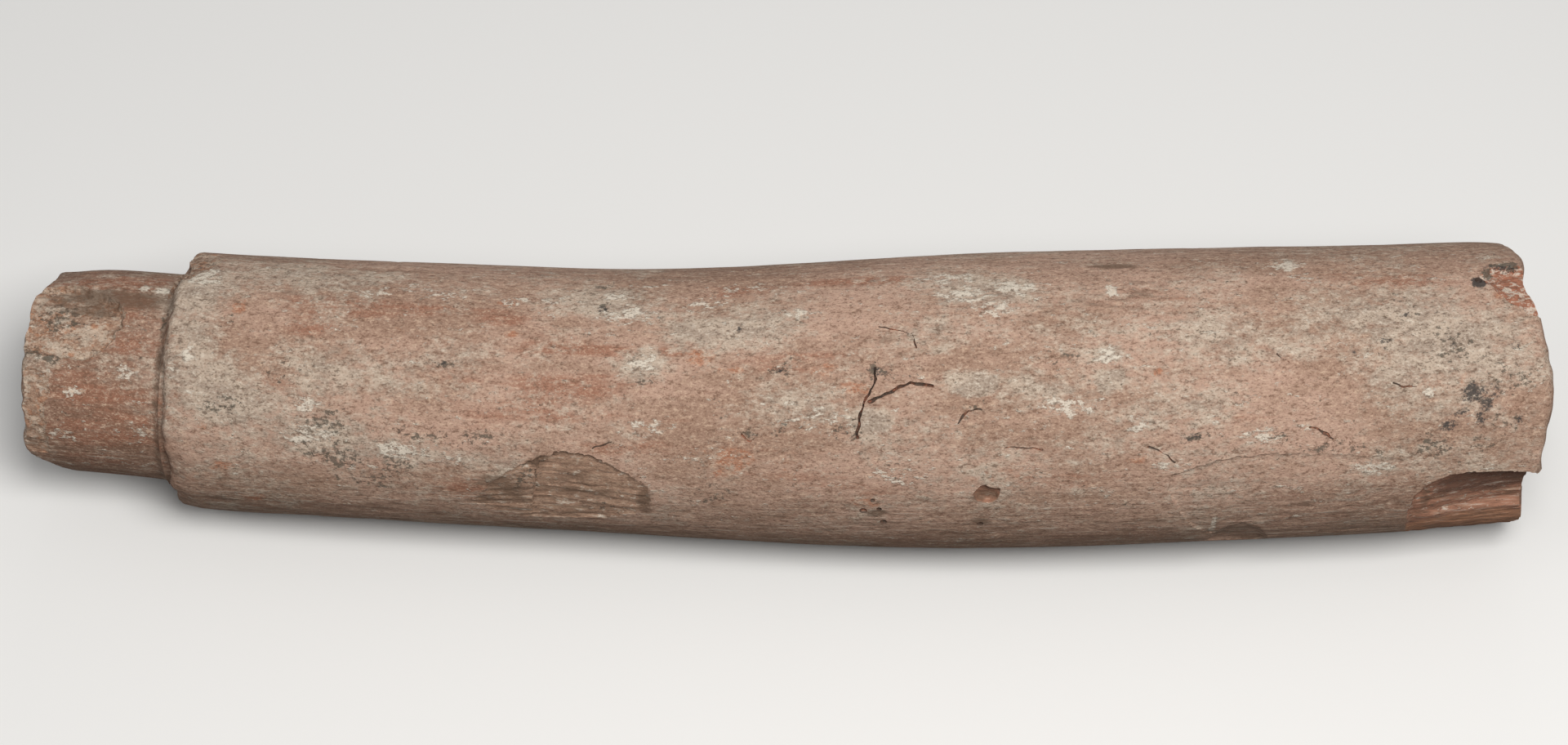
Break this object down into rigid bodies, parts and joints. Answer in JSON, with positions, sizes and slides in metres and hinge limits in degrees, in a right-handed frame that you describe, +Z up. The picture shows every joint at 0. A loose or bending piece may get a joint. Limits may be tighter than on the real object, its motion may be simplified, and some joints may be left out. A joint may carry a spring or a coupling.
{
  "type": "clay drain pipe",
  "caption": "Hand-made fired clay drain pipe: a slightly bowed, swelling tube with a narrower spigot at one end that slips into the wide mouth of the next pipe.",
  "frame": {"origin": "on the floor, under the middle of the pipe's box as it lies on its underside", "axes": "+X along the pipe from the spigot to the mouth, -Y towards the side it bows out to, +Z up"},
  "size_m": [0.6998, 0.1476, 0.1356],
  "materials": {
    "fired_clay": "unglazed, rough and matt, with a thin crust of lime and soil"
  },
  "bodies": {
    "root": {"drain_pipe": "fired_clay"}
  },
  "joints": []
}
